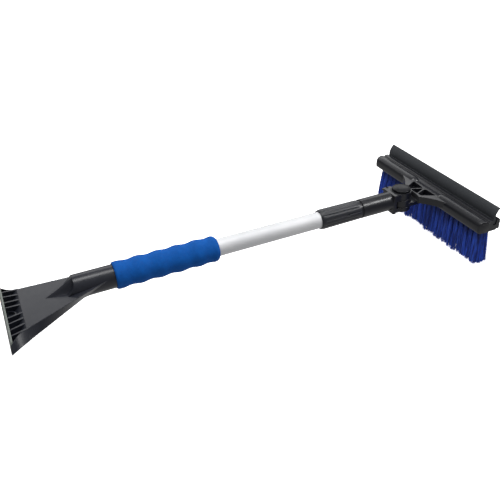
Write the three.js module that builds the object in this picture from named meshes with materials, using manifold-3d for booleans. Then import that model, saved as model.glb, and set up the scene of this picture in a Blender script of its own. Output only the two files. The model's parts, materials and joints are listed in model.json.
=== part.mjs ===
// Telescopic snow brush with a twist-lock pole, a turning brush and squeegee head, and an ice scraper.
// Millimetres, +Z up. The pole runs along X, from the scraper (-X) to the brush head (+X), and the
// origin is the centre of the brush's tip face. Most pieces are drawn in the pole's own frame, whose
// origin is the crossing of the pole's axis and the head's pivot axis.
import * as THREE from 'three';
import { mergeVertices } from 'three/addons/utils/BufferGeometryUtils.js';
import Module from 'manifold-3d';

const wasm = await Module();
wasm.setup();

// Driving dimensions
const GAP = 0.3; // clearance between touching pieces
const ROUND = 40; // sides of a large cylinder
const SMALL_ROUND = 20; // sides of a small cylinder

const OUTER_TUBE_R = 11;
const INNER_TUBE_R = 9.5;
const TUBE_WALL = 1.2;
const RIVET = { x: -378, r: 2, z: [-12.9, -10.2] }; // holds the outer tube in the socket, from below
const NECK_RIVET = { x: -52, r: 2, z: [-12.7, -8.6] }; // holds the inner tube in the pivot's neck
const RIVET_HOLE_R = 2.3;
const OUTER_TUBE_X = [-440, -112];
const INNER_TUBE_X = [-391, -40];

const NECK_R = 14.2; // scraper's round neck
const SOCKET_R = 13.2; // part of the neck that is under the grip
const NECK_X = [-458, -404.8];
const SOCKET_END_X = -350;

const FAN_NECK = { x: -415, topHalf: 13.6, topZ: 5, footHalf: 8, footZ: -8 };
const FAN_FOOT = { x: -443, topHalf: 21, topZ: 0.9, footHalf: 9.5, footZ: -12 };
const FAN_FRONT = { x: -510.7, topHalf: 38.9, topZ: -9, footHalf: 48, footZ: -18.9 };
const RIB_END_X = -523.9; // where the ribs meet the blade
const RIB_TOP_Z = -9.7;
const POCKET_FLOOR_Z = -17;
const RIB_ROOTS = [7.5, 17.5, 27.6, 38.2]; // half of the ribs, mirrored to the other side
const RIB_TIPS = [9.9, 20.3, 31.8, 41.6];
const RIB_THICK = 1.4;
const WING_HALF = 53.8; // half width of the side walls where they meet the blade
const WING_TOP_Z = -13;
const BLADE_HALF = 59.4;
const BLADE_TOP = { x: -526.4, z: -10 };
const BLADE_EDGE = { x: -530.9, z: -21 };
const BLADE_THICK = 2.2;
const SHELL = 2.8; // wall of the scraper's hollow underside
const HOLLOW_START = 0.34; // where the hollow starts, as a share of the way from the fan's foot to its front
const UNDER_RIBS = [-22, -7.5, 7.5, 22]; // stiffening ribs in the hollow
const BOW_R = [5.4, 6.6]; // bow-shaped rib in the middle pocket
const BOW_TOP_Z = -12;
const RAMP_TIP_X = -486; // point of the ramp that runs down from the neck
const RAMP_HALF = 12.6;
const RAMP_RISE = 13.2;

const GRIP_X = [-404.5, -275.5];
const GRIP_R = 16.6;
const GROOVE_DEPTH = 1.15;
const GROOVE_PITCH = 24.1;
const GROOVES_X = -338; // middle of the five finger grooves
const GRIP_END_ROUND = 5;

const COLLAR_X = [-131.2, -71];
const COLLAR_R = [13.4, 12.9];
const COLLAR_BORE_R = 12.2;
const FLUTES = 18;
const FLUTE_DEPTH = 0.35;
const SKIRT_X = -75.2; // where the collar's skirt over the spigot starts
const POINTER = { x: [-93, -72], half: 1.6, r: [12.4, 13.7], angle: 10 };
const COLLET_R = 11.9;

const PIVOT_NECK_R = 12.9;
const SPIGOT_R = 11.6;
const SPIGOT_X = -74.5;
const PIVOT_NECK_X = [-67.5, -19];
const FLANGE = { x: [-19, -15], half: 13, z: [-15, 13] };
const TOP_ARM_Z = [2.8, 12];
const BOTTOM_ARM_Z = [-14.5, -8.5];
const ARM_HALF = 12;
const TOP_ARM_R = 14.2;
const BOTTOM_ARM_R = 15;
const CUP_R = 12.8; // cup in the top arm that the button sinks into
const CUP_FLOOR_Z = 9;
const CUP_RIM_Z = 13;

const BUTTON_R = 12.5;
const BUTTON_SKIRT_Z = [12.3, 15.4];
const BUTTON_CROWN_Z = 17.2;
const BUTTON_TRAVEL = 3;
const STEM_Z = 8.8; // foot of the button's hollow stem
const SCREW_TOP_Z = 11.3;
const SCREW_R = 3;
const SCREW_HEAD = { r: 5.6, z: [-14.2, -12.7] };
const SCREW_HOLE_R = 3.4;
const SCREW_SEAT = { r: 6, z: -12.3 }; // counterbore for the screw's head
const NUT = { r: 5.5, z: [8.9, 11] };
const SPRING = { r: 4.9, wire: 0.4, turns: 5, z: [-4.2, 5.2] };
const SPRING_ROOM = { r: 6.2, top: 6 }; // room for the spring inside the lock gear
const GEAR_TEETH = 16;
const GEAR_R = 9;
const GEAR_Z = [0.3, 8.5];
const TOOTH_DEPTH = 0.9;

const KNUCKLE_R = 14.5;
const KNUCKLE_Z = [-8, 2.2];
const WEB_HALF = 14.4; // web that joins the knuckle to the hub
const KNUCKLE_POCKET_Z = -5; // floor of the pocket that the lock gear stands in
const HUB_INNER_R = 24.5; // clears the corners of the yoke's flange
const HUB_Z = [-6, 6];
const HUB_POCKET_FLOOR_Z = -3.2;
const HUB_POCKETS = [
  [[22.4, 14.4], [25.4, 7.4], [39.4, 3.2], [40.2, 24.6]],
  [[22.4, -14.4], [25.4, -7.4], [39.4, -3.2], [40.2, -24.6]],
  [[25.8, 3.4], [25.8, -3.4], [27.4, -5.2], [38.8, 0], [27.4, 5.2]],
];
const BAR_HALF = 111;
const BAR_BULGE = 2.5; // how far the bar's ends bow out
const SQUEEGEE_HALF = 111.5;
const TIP_Z = -60;
const BRISTLE_ROW_COUNT = 5;
const BRISTLE_PITCH = 4.3;
const BRISTLE_THICK = 3.9;
const BRISTLE_ROOT_HALF = 103;
const BRISTLE_TIP_HALF = 110;
const BAR_FOOT_Z = -9.5;

const HEAD_CENTRE_X = 55.5; // from the pivot axis to the middle of the brush

// Materials
const finish = (color, roughness, metalness = 0) =>
  new THREE.MeshStandardMaterial({ color, roughness, metalness });
const BLACK_PLASTIC = finish(0x35373b, 0.5);
const SCRAPER_PLASTIC = finish(0x4c4f54, 0.45);
const BLADE_PLASTIC = finish(0x8d958c, 0.4);
const COLLAR_PLASTIC = finish(0x54565b, 0.5);
const PALE_ALUMINIUM = finish(0xdcdde0, 0.35, 0.9);
const BLUE_FOAM = finish(0x144694, 0.9);
const BLACK_RUBBER = finish(0x2f3134, 0.65);
const BLUE_BRISTLE = finish(0x1f3886, 0.55);
const STEEL = finish(0xb4b6b9, 0.35, 1);
const WHITE_NYLON = finish(0xd8d6cf, 0.5);

// Turns a closed geometry into a solid. Seams are merged, slivers dropped and faces turned out.
function solid(geometry) {
  const bare = new THREE.BufferGeometry();
  bare.setAttribute('position', geometry.getAttribute('position').clone());
  if (geometry.index) {
    bare.setIndex(geometry.index.clone());
  }
  const merged = mergeVertices(bare, 1e-4);
  const points = merged.getAttribute('position').array;
  const corners = merged.index.array;
  const triangles = [];
  let volume = 0;
  for (let i = 0; i < corners.length; i += 3) {
    const [a, b, c] = [corners[i], corners[i + 1], corners[i + 2]];
    if (a === b || b === c || c === a) {
      continue;
    }
    triangles.push(a, b, c);
    const [pa, pb, pc] = [a, b, c].map((k) => new THREE.Vector3().fromArray(points, 3 * k));
    volume += pa.dot(pb.cross(pc));
  }
  if (volume < 0) {
    triangles.reverse();
  }
  const mesh = new wasm.Mesh({
    numProp: 3,
    vertProperties: Float32Array.from(points),
    triVerts: Uint32Array.from(triangles),
  });
  return new wasm.Manifold(mesh);
}

// Makes the named mesh of a finished solid.
function piece(name, body, material) {
  const { vertProperties, triVerts } = body.getMesh();
  const geometry = new THREE.BufferGeometry();
  geometry.setAttribute('position', new THREE.BufferAttribute(Float32Array.from(vertProperties), 3));
  geometry.setIndex(new THREE.BufferAttribute(Uint32Array.from(triVerts), 1));
  geometry.computeVertexNormals();
  const mesh = new THREE.Mesh(geometry, material);
  mesh.name = name;
  return mesh;
}

const AXIS_X = new THREE.Vector3(1, 0, 0);
const AXIS_Y = new THREE.Vector3(0, 1, 0);
const AXIS_Z = new THREE.Vector3(0, 0, 1);

// Extrudes a shape drawn in the plane of two axes along the third.
function extrude(shape, depth, curveSegments, basis, offset) {
  const geometry = new THREE.ExtrudeGeometry(shape, { depth, bevelEnabled: false, curveSegments });
  geometry.applyMatrix4(new THREE.Matrix4().makeBasis(...basis).setPosition(offset));
  return solid(geometry);
}
const alongX = (shape, x0, x1, segments = ROUND / 2) =>
  extrude(shape, x1 - x0, segments, [AXIS_Y, AXIS_Z, AXIS_X], new THREE.Vector3(x0, 0, 0));
const alongY = (shape, y0, y1, segments = 6) =>
  extrude(shape, y1 - y0, segments, [AXIS_X, AXIS_Z, AXIS_Y.clone().negate()], new THREE.Vector3(0, y1, 0));
const alongZ = (shape, z0, z1, segments = ROUND / 2) =>
  extrude(shape, z1 - z0, segments, [AXIS_X, AXIS_Y, AXIS_Z], new THREE.Vector3(0, 0, z0));

const polygon = (points) => new THREE.Shape(points.map(([a, b]) => new THREE.Vector2(a, b)));

function disc(radius, a = 0, b = 0) {
  const shape = new THREE.Shape();
  shape.absarc(a, b, radius, 0, 2 * Math.PI);
  return shape;
}

function box(x, y, z) {
  const geometry = new THREE.BoxGeometry(x[1] - x[0], y[1] - y[0], z[1] - z[0]);
  geometry.translate((x[0] + x[1]) / 2, (y[0] + y[1]) / 2, (z[0] + z[1]) / 2);
  return solid(geometry);
}

// Cylinders on the pole's axis and on upright axes.
const rodX = (radius, x0, x1) => alongX(disc(radius), x0, x1);
const postZ = (radius, z0, z1, x = 0, y = 0, segments = ROUND / 2) =>
  alongZ(disc(radius, x, y), z0, z1, segments);
const tubeX = (outer, inner, x0, x1) => rodX(outer, x0, x1).subtract(rodX(inner, x0 - 1, x1 + 1));

// Turns a profile of [x, radius] points about the pole's axis.
function turnedX(profile, sides = ROUND) {
  const points = profile.map(([x, r]) => new THREE.Vector2(r, x));
  const geometry = new THREE.LatheGeometry(points, sides);
  const basis = [AXIS_Y, AXIS_X, AXIS_Z.clone().negate()];
  geometry.applyMatrix4(new THREE.Matrix4().makeBasis(...basis));
  return solid(geometry);
}

// Turns a profile of [radius, z] points about the pivot axis.
function turnedZ(profile, sides = ROUND) {
  const geometry = new THREE.LatheGeometry(profile.map(([r, z]) => new THREE.Vector2(r, z)), sides);
  geometry.rotateX(Math.PI / 2);
  return solid(geometry);
}

// Skins a row of rings with equal numbers of corners. The first and last ring are closed flat.
function loft(rings) {
  const count = rings[0].length;
  const triangles = [];
  for (let ring = 0; ring + 1 < rings.length; ring += 1) {
    for (let k = 0; k < count; k += 1) {
      const [a, b] = [ring * count + k, ring * count + ((k + 1) % count)];
      triangles.push(a, b, a + count, b, b + count, a + count);
    }
  }
  const last = (rings.length - 1) * count;
  for (let k = 1; k + 1 < count; k += 1) {
    triangles.push(0, k + 1, k, last, last + k, last + k + 1);
  }
  const geometry = new THREE.BufferGeometry();
  geometry.setAttribute('position', new THREE.Float32BufferAttribute(rings.flat(2), 3));
  geometry.setIndex(triangles);
  return solid(geometry);
}

const mix = (a, b, share) => a + (b - a) * share;

// A four-cornered cross-section of the scraper's fan.
const fanRing = ({ x, topHalf, topZ, footHalf, footZ }) => [
  [x, topHalf, topZ],
  [x, -topHalf, topZ],
  [x, -footHalf, footZ],
  [x, footHalf, footZ],
];

// The inner outline of a fan ring, a wall's thickness in and open well below the foot.
function insetRing(ring, x) {
  const lean = (ring.topHalf - ring.footHalf) / (ring.topZ - ring.footZ);
  const openBelow = 8;
  return {
    x,
    topHalf: ring.topHalf - SHELL,
    topZ: ring.topZ - SHELL,
    footHalf: ring.footHalf - SHELL - openBelow * lean,
    footZ: ring.footZ - openBelow,
  };
}

// The fan's section at a share of the way from its foot to its front.
function fanAt(share) {
  const section = {};
  for (const key of Object.keys(FAN_FOOT)) {
    section[key] = mix(FAN_FOOT[key], FAN_FRONT[key], share);
  }
  return section;
}

// The hollow of the scraper's underside, split by stiffening ribs.
function fanHollow() {
  const shares = [0, 0.25, 0.5, 0.75].map((step) => mix(HOLLOW_START, 1, step));
  const rings = shares.map(fanAt).map((section) => fanRing(insetRing(section, section.x)));
  let hollow = loft([...rings, fanRing(insetRing(FAN_FRONT, FAN_FRONT.x + SHELL))]);
  const ribX = [FAN_FRONT.x, fanAt(HOLLOW_START).x + 1];
  for (const y of UNDER_RIBS) {
    hollow = hollow.subtract(box(ribX, [y - RIB_THICK / 2, y + RIB_THICK / 2], [-40, 10]));
  }
  return hollow;
}

// One pocket between two ribs, given by its half-open sides at the plate and at the blade.
const pocket = (rootLow, rootHigh, tipLow, tipHigh) =>
  alongZ(
    polygon([
      [FAN_FRONT.x, rootLow + RIB_THICK / 2],
      [FAN_FRONT.x, rootHigh - RIB_THICK / 2],
      [RIB_END_X - 1, tipHigh - RIB_THICK / 2],
      [RIB_END_X - 1, tipLow + RIB_THICK / 2],
    ]),
    POCKET_FLOOR_Z,
    0,
  );

function ribPockets() {
  const roots = [...RIB_ROOTS.map((y) => -y).reverse(), ...RIB_ROOTS];
  const tips = [...RIB_TIPS.map((y) => -y).reverse(), ...RIB_TIPS];
  const cuts = [];
  for (let k = 0; k + 1 < roots.length; k += 1) {
    cuts.push(pocket(roots[k], roots[k + 1], tips[k], tips[k + 1]));
  }
  for (const side of [-1, 1]) {
    const wing = polygon([
      [FAN_FRONT.x + 2, side * (RIB_ROOTS[3] + 1.6)],
      [RIB_END_X - 1, side * (RIB_TIPS[3] + 1.2)],
      [RIB_END_X - 1, side * (WING_HALF - 2.2)],
    ]);
    cuts.push(alongZ(wing, POCKET_FLOOR_Z, 0));
  }
  return cuts;
}

// The bow-shaped rib in the middle pocket.
function bowRib() {
  const ring = new THREE.Shape();
  ring.absarc(RIB_END_X + 0.4, 0, BOW_R[1], -Math.PI / 2, Math.PI / 2);
  ring.absarc(RIB_END_X + 0.4, 0, BOW_R[0], Math.PI / 2, -Math.PI / 2, true);
  return alongZ(ring, POCKET_FLOOR_Z - 1, BOW_TOP_Z, 8);
}

// The ramp that runs from the end of the round neck down to a point on the plate.
function neckRamp() {
  const start = NECK_X[0] + 2;
  const rings = [];
  for (let step = 0; step <= 5; step += 1) {
    const share = step / 5;
    const size = Math.max(0.02, (1 - share) ** 1.25);
    const x = mix(start, RAMP_TIP_X, share);
    const plateZ = mix(FAN_FOOT.topZ, FAN_FRONT.topZ, (x - FAN_FOOT.x) / (FAN_FRONT.x - FAN_FOOT.x)) - 0.5;
    const ring = [];
    for (let k = 0; k <= 8; k += 1) {
      const angle = (Math.PI * k) / 8;
      ring.push([x, RAMP_HALF * size * Math.cos(angle), plateZ + RAMP_RISE * size * Math.sin(angle)]);
    }
    rings.push(ring);
  }
  return loft(rings);
}

function scraperHead() {
  const main = loft([FAN_NECK, ...[0, 0.25, 0.5, 0.75, 1].map(fanAt)].map(fanRing));
  const wings = loft([
    fanRing(FAN_FRONT),
    fanRing({ x: RIB_END_X, topHalf: WING_HALF, topZ: WING_TOP_Z, footHalf: WING_HALF + 1.8, footZ: -20.2 }),
  ]);
  const ribBlock = loft([
    fanRing({ ...FAN_FRONT, footHalf: FAN_FRONT.topHalf, footZ: -18 }),
    fanRing({ x: RIB_END_X, topHalf: 42.3, topZ: RIB_TOP_Z, footHalf: 42.3, footZ: -19 }),
  ]);
  let body = main.add(wings).add(ribBlock).add(rodX(NECK_R, ...NECK_X)).add(neckRamp());
  body = body.add(rodX(SOCKET_R, NECK_X[1] - 1, SOCKET_END_X));
  for (const cut of ribPockets()) {
    body = body.subtract(cut);
  }
  body = body.add(bowRib());
  const bore = rodX(OUTER_TUBE_R + GAP, OUTER_TUBE_X[0] - 3, SOCKET_END_X + 1);
  const rivetHole = postZ(RIVET_HOLE_R, -SOCKET_R - 1, 0, RIVET.x, 0, SMALL_ROUND / 2);
  return body.subtract(fanHollow()).subtract(bore).subtract(rivetHole);
}

// Blade strip across the scraper's front: a leaning plate that thins to its lower edge.
function scraperBlade() {
  const section = polygon([
    [BLADE_TOP.x, BLADE_TOP.z],
    [BLADE_EDGE.x, BLADE_EDGE.z],
    [BLADE_EDGE.x + 1, BLADE_EDGE.z + 0.1],
    [RIB_END_X - GAP, -19.4],
    [BLADE_TOP.x + BLADE_THICK, BLADE_TOP.z],
  ]);
  const outline = polygon([
    [-BLADE_HALF, BLADE_EDGE.z - 1],
    [BLADE_HALF, BLADE_EDGE.z - 1],
    [BLADE_HALF, BLADE_EDGE.z],
    [WING_HALF + 2.5, WING_TOP_Z],
    [WING_HALF - 2, BLADE_TOP.z + 1],
    [2 - WING_HALF, BLADE_TOP.z + 1],
    [-WING_HALF - 2.5, WING_TOP_Z],
    [-BLADE_HALF, BLADE_EDGE.z],
  ]);
  const strip = alongY(section, -BLADE_HALF - 1, BLADE_HALF + 1);
  return strip.intersect(alongX(outline, BLADE_EDGE.x - 1, RIB_END_X + 3));
}

const rivet = ({ x, r, z }) => postZ(r, z[0], z[1], x, 0, SMALL_ROUND / 2);

function outerTube() {
  return tubeX(OUTER_TUBE_R, OUTER_TUBE_R - TUBE_WALL, ...OUTER_TUBE_X).subtract(
    postZ(RIVET_HOLE_R, -OUTER_TUBE_R - 1, 0, RIVET.x, 0, SMALL_ROUND / 2),
  );
}

// Radius of the foam grip at x: finger grooves between round ends.
function gripRadius(x) {
  const wave = 0.5 + 0.5 * Math.cos((2 * Math.PI * (x - GROOVES_X)) / GROOVE_PITCH);
  const inGrooves = Math.abs(x - GROOVES_X) < 2.5 * GROOVE_PITCH;
  const toEnd = Math.min(x - GRIP_X[0], GRIP_X[1] - x);
  const overlap = Math.max(0, GRIP_END_ROUND - toEnd);
  const rounding = GRIP_END_ROUND - Math.sqrt(GRIP_END_ROUND ** 2 - overlap ** 2);
  return GRIP_R - (inGrooves ? GROOVE_DEPTH * wave : 0) - 0.55 * rounding;
}

function foamGrip() {
  const steps = 34;
  const profile = [];
  for (let step = 0; step <= steps; step += 1) {
    const share = 0.5 - 0.5 * Math.cos((Math.PI * step) / steps);
    const x = mix(...GRIP_X, mix(step / steps, share, 0.5));
    profile.push([x, gripRadius(x)]);
  }
  const socketBore = SOCKET_R + GAP;
  const tubeBore = OUTER_TUBE_R + GAP;
  profile.push([GRIP_X[1], tubeBore], [SOCKET_END_X + GAP, tubeBore]);
  profile.push([SOCKET_END_X + GAP, socketBore], [GRIP_X[0], socketBore], profile[0]);
  return turnedX(profile, 28);
}

// Collet body on the end of the outer tube. Its slotted nose is squeezed onto the inner tube.
function colletBody() {
  const [start, end] = [-125.9, -84.3];
  const step = OUTER_TUBE_X[1] + GAP;
  const bore = rodX(INNER_TUBE_R + GAP, step - 1, end + 1);
  const seat = rodX(OUTER_TUBE_R + GAP, start - 1, step);
  let body = rodX(COLLET_R, start, end).subtract(bore).subtract(seat);
  for (let slot = 0; slot < 2; slot += 1) {
    const cut = box([end - 14, end + 1], [-20, 20], [-0.6, 0.6]);
    body = body.subtract(cut.rotate([90 * slot, 0, 0]));
  }
  return body;
}

// Split ring ahead of the collet.
function colletRing() {
  const ring = tubeX(10.5, INNER_TUBE_R + GAP, -83.6, -80.6);
  return ring.subtract(box([-90, -70], [-0.7, 0.7], [0, 20]));
}

// Raised arrow on the collar that shows which way it turns.
function collarPointer() {
  const [start, end] = POINTER.x;
  const arrow = polygon([
    [start, 0],
    [start + 3.5, -POINTER.half],
    [end, -POINTER.half],
    [end, POINTER.half],
    [start + 3.5, POINTER.half],
  ]);
  return alongZ(arrow, ...POINTER.r).rotate([90 - POINTER.angle, 0, 0]);
}

// Fluted collar that is turned to lock the inner tube.
function lockCollar() {
  const outline = new THREE.Shape();
  const corners = FLUTES * 4;
  for (let k = 0; k <= corners; k += 1) {
    const angle = (2 * Math.PI * k) / corners;
    const radius = COLLAR_R[0] + 0.1 - FLUTE_DEPTH * (0.5 - 0.5 * Math.cos(FLUTES * angle));
    outline[k ? 'lineTo' : 'moveTo'](radius * Math.cos(angle), radius * Math.sin(angle));
  }
  const fluted = alongX(outline, ...COLLAR_X);
  const [start, end] = COLLAR_X;
  const envelope = turnedX([
    [start, 0],
    [start, 11.9],
    [start + 4, COLLAR_R[0]],
    [end - 2, COLLAR_R[1]],
    [end, COLLAR_R[1] - 0.9],
    [end, 0],
  ]);
  const hollow = turnedX([
    [start - 1, 0],
    [start - 1, OUTER_TUBE_R + GAP],
    [start + 5, OUTER_TUBE_R + GAP],
    [start + 5, COLLAR_BORE_R],
    [-84, COLLAR_BORE_R],
    [-79, INNER_TUBE_R + 0.5],
    [SKIRT_X, INNER_TUBE_R + 0.5],
    [SKIRT_X, SPIGOT_R + GAP],
    [end + 1, SPIGOT_R + GAP],
    [end + 1, 0],
  ]);
  return fluted.intersect(envelope).add(collarPointer()).subtract(hollow);
}

function innerTube() {
  return tubeX(INNER_TUBE_R, INNER_TUBE_R - TUBE_WALL, ...INNER_TUBE_X).subtract(
    postZ(RIVET_HOLE_R, -INNER_TUBE_R - 1, 0, NECK_RIVET.x, 0, SMALL_ROUND / 2),
  );
}

// Plug in the hidden end of the inner tube. It guides the tube inside the outer one.
function guidePlug() {
  const end = INNER_TUBE_X[0];
  const flange = rodX(INNER_TUBE_R, end - GAP - 3, end - GAP);
  return flange.add(rodX(INNER_TUBE_R - TUBE_WALL - GAP, end - 1, end + 16));
}

// Plan outline of a yoke arm: straight sides from the flange to a round end on the pivot axis.
function armOutline(radius) {
  const outline = new THREE.Shape();
  const start = Math.asin(ARM_HALF / radius);
  outline.moveTo(FLANGE.x[0] + 1, -ARM_HALF);
  outline.lineTo(-radius * Math.cos(start), -ARM_HALF);
  outline.absarc(0, 0, radius, start - Math.PI, Math.PI - start);
  outline.lineTo(FLANGE.x[0] + 1, ARM_HALF);
  return outline;
}

// Gear outline with sloping teeth, grown all round by the given amount.
function gearOutline(grow) {
  const pitch = (2 * Math.PI) / GEAR_TEETH;
  const [rootR, tipR] = [GEAR_R - TOOTH_DEPTH + grow, GEAR_R + grow];
  const [rootHalf, tipHalf] = [0.375 * pitch + grow / GEAR_R, 0.125 * pitch + grow / GEAR_R];
  const tooth = [
    [rootR, -rootHalf],
    [tipR, -tipHalf],
    [tipR, tipHalf],
    [rootR, rootHalf],
  ];
  const points = [];
  for (let k = 0; k < GEAR_TEETH; k += 1) {
    for (const [radius, angle] of tooth) {
      const turn = k * pitch + angle;
      points.push([radius * Math.cos(turn), radius * Math.sin(turn)]);
    }
  }
  return polygon(points);
}

function lugWithHole() {
  const lug = box([-19, -5], [ARM_HALF - 1, 17.5], [9, 11.5]);
  return lug.subtract(postZ(1.6, 8, 13, -12, 15.2, SMALL_ROUND / 2));
}

// Pivot yoke: the pole's black neck, its end flange and the two arms that hold the knuckle.
function pivotYoke() {
  const neck = rodX(PIVOT_NECK_R, ...PIVOT_NECK_X).add(rodX(SPIGOT_R, SPIGOT_X, PIVOT_NECK_X[0] + 1));
  const flange = box([FLANGE.x[0] - 1, FLANGE.x[1]], [-FLANGE.half, FLANGE.half], FLANGE.z);
  const topArm = alongZ(armOutline(TOP_ARM_R), ...TOP_ARM_Z).add(postZ(TOP_ARM_R, TOP_ARM_Z[0], CUP_RIM_Z));
  const bottomArm = alongZ(armOutline(BOTTOM_ARM_R), ...BOTTOM_ARM_Z);
  const body = neck.add(flange).add(topArm).add(bottomArm).add(lugWithHole());
  const cuts = [
    rodX(INNER_TUBE_R + GAP, SPIGOT_X - 1, INNER_TUBE_X[1] + 1.5),
    postZ(CUP_R, CUP_FLOOR_Z, CUP_RIM_Z + 1),
    alongZ(gearOutline(GAP + 0.05), TOP_ARM_Z[0] - 1, CUP_FLOOR_Z + 1),
    postZ(SCREW_HOLE_R, BOTTOM_ARM_Z[0] - 1, BOTTOM_ARM_Z[1] + 1, 0, 0, SMALL_ROUND / 2),
    postZ(SCREW_SEAT.r, BOTTOM_ARM_Z[0] - 1, SCREW_SEAT.z),
    postZ(RIVET_HOLE_R, -PIVOT_NECK_R - 1, 0, NECK_RIVET.x, 0, SMALL_ROUND / 2),
  ];
  return cuts.reduce((left, cut) => left.subtract(cut), body);
}

// Screw and nut on the pivot axis.
function pivotScrew() {
  const slot = box([-4, 4], [-0.6, 0.6], [SCREW_HEAD.z[0] - 1, SCREW_HEAD.z[0] + 0.7]);
  const head = postZ(SCREW_HEAD.r, ...SCREW_HEAD.z).subtract(slot);
  return head.add(postZ(SCREW_R, SCREW_HEAD.z[0] + 1.2, SCREW_TOP_Z, 0, 0, SMALL_ROUND / 2));
}
function pivotNut() {
  const hexagon = postZ(NUT.r, ...NUT.z, 0, 0, 3);
  return hexagon.subtract(postZ(SCREW_R + GAP, NUT.z[0] - 1, NUT.z[1] + 1, 0, 0, SMALL_ROUND / 2));
}

// Domed push button. Its hollow stem stands on the lock gear and clears the nut.
function pushButton() {
  const profile = [[0, STEM_Z], [8.2, STEM_Z], [8.2, BUTTON_SKIRT_Z[0]], [BUTTON_R, BUTTON_SKIRT_Z[0]]];
  const crown = BUTTON_CROWN_Z - BUTTON_SKIRT_Z[1];
  for (let k = 0; k <= 5; k += 1) {
    const angle = (Math.PI / 2) * (k / 5);
    profile.push([BUTTON_R * Math.cos(angle), BUTTON_SKIRT_Z[1] + crown * Math.sin(angle)]);
  }
  const nutRoom = postZ(NUT.r + 0.7, STEM_Z - 1, SCREW_TOP_Z + BUTTON_TRAVEL + GAP);
  return turnedZ(profile).subtract(nutRoom);
}

// Toothed drum that locks the head. The button pushes it down out of the top arm.
function lockGear() {
  const drum = alongZ(gearOutline(0), ...GEAR_Z);
  return drum
    .subtract(postZ(SPRING_ROOM.r, GEAR_Z[0] - 1, SPRING_ROOM.top))
    .subtract(postZ(SCREW_HOLE_R, 0, GEAR_Z[1] + 1, 0, 0, SMALL_ROUND / 2));
}

// Coil spring under the lock gear.
class Helix extends THREE.Curve {
  getPoint(t, target = new THREE.Vector3()) {
    const angle = 2 * Math.PI * SPRING.turns * t;
    return target.set(SPRING.r * Math.cos(angle), SPRING.r * Math.sin(angle), mix(...SPRING.z, t));
  }
}

function buttonSpring() {
  const wire = new THREE.ExtrudeGeometry(disc(SPRING.wire), {
    extrudePath: new Helix(),
    steps: SPRING.turns * 10,
    curveSegments: 3,
    bevelEnabled: false,
  });
  return solid(wire);
}

// Plan outline of the hub web, from its round inner wall out to the bar.
function hubOutline() {
  const outline = new THREE.Shape();
  const angle = 0.72;
  outline.moveTo(46, -52);
  outline.lineTo(46, 52);
  outline.lineTo(40, 50);
  outline.quadraticCurveTo(33, 29, 18.6, 17.2);
  outline.lineTo(HUB_INNER_R * Math.cos(angle), HUB_INNER_R * Math.sin(angle));
  outline.absarc(0, 0, HUB_INNER_R, angle, -angle, true);
  outline.lineTo(18.6, -17.2);
  outline.quadraticCurveTo(33, -29, 40, -50);
  return outline;
}

// Side profile of the head's bar: round bolster, groove and ridge in front of the squeegee slot.
function barProfile() {
  const outline = new THREE.Shape();
  outline.moveTo(42.5, BAR_FOOT_Z);
  outline.lineTo(40.2, -6.5);
  outline.quadraticCurveTo(38.2, 0, 42.2, 3.6);
  outline.quadraticCurveTo(46, 7.4, 51.5, 7.3);
  outline.lineTo(53.6, 6.2);
  outline.lineTo(54.8, 4.6);
  outline.lineTo(56.2, 6);
  outline.lineTo(60.4, 6.6);
  outline.lineTo(60.4, -1);
  outline.lineTo(66.6, -1);
  outline.lineTo(66.6, 6);
  outline.lineTo(68.8, 5.6);
  outline.lineTo(68.8, BAR_FOOT_Z);
  return outline;
}

// Plan outline that trims the bar's ends to a shallow bow.
function barPlan() {
  const outline = new THREE.Shape();
  outline.moveTo(30, -BAR_HALF + 2);
  outline.lineTo(42, -BAR_HALF);
  outline.quadraticCurveTo(56, -BAR_HALF - 2 * BAR_BULGE, 70, -BAR_HALF + 1);
  outline.lineTo(70, BAR_HALF - 1);
  outline.quadraticCurveTo(56, BAR_HALF + 2 * BAR_BULGE, 42, BAR_HALF);
  outline.lineTo(30, BAR_HALF - 2);
  return outline;
}

function headBody() {
  const bar = alongY(barProfile(), -BAR_HALF - 4, BAR_HALF + 4).intersect(alongZ(barPlan(), -20, 20, 6));
  const web = box([0, 30], [-WEB_HALF, WEB_HALF], KNUCKLE_Z).subtract(postZ(GEAR_R + 1, -20, 20));
  const knuckle = postZ(KNUCKLE_R, ...KNUCKLE_Z);
  let body = bar.add(alongZ(hubOutline(), ...HUB_Z, 8)).add(web).add(knuckle);
  for (const corners of HUB_POCKETS) {
    body = body.subtract(alongZ(polygon(corners), HUB_POCKET_FLOOR_Z, HUB_Z[1] + 4));
  }
  body = body.subtract(postZ(GEAR_R + 2 * GAP, KNUCKLE_POCKET_Z, KNUCKLE_Z[1] + 1));
  return body.subtract(postZ(SCREW_HOLE_R, KNUCKLE_Z[0] - 1, 0, 0, 0, SMALL_ROUND / 2));
}

// Rail along the back of the bar that closes the squeegee slot.
function squeegeeRail() {
  const section = polygon([
    [69.1, BAR_FOOT_Z],
    [74.6, BAR_FOOT_Z],
    [74.2, 3.6],
    [71.4, 6.2],
    [69.1, 6.2],
  ]);
  return alongY(section, -BAR_HALF, BAR_HALF);
}

// Rubber squeegee: a rooted strip that curves back from the handle as it rises.
function squeegeeBlade() {
  const outline = new THREE.Shape();
  outline.moveTo(60.8, -0.6);
  outline.lineTo(66.2, -0.6);
  outline.lineTo(66.2, 5.6);
  outline.lineTo(64.8, 7.2);
  outline.quadraticCurveTo(64.2, 15, 68.6, 22.1);
  outline.lineTo(66.9, 22.9);
  outline.quadraticCurveTo(61.6, 15.4, 62, 7);
  outline.lineTo(60.8, 5.6);
  return alongY(outline, -SQUEEGEE_HALF, SQUEEGEE_HALF, 5);
}

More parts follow.
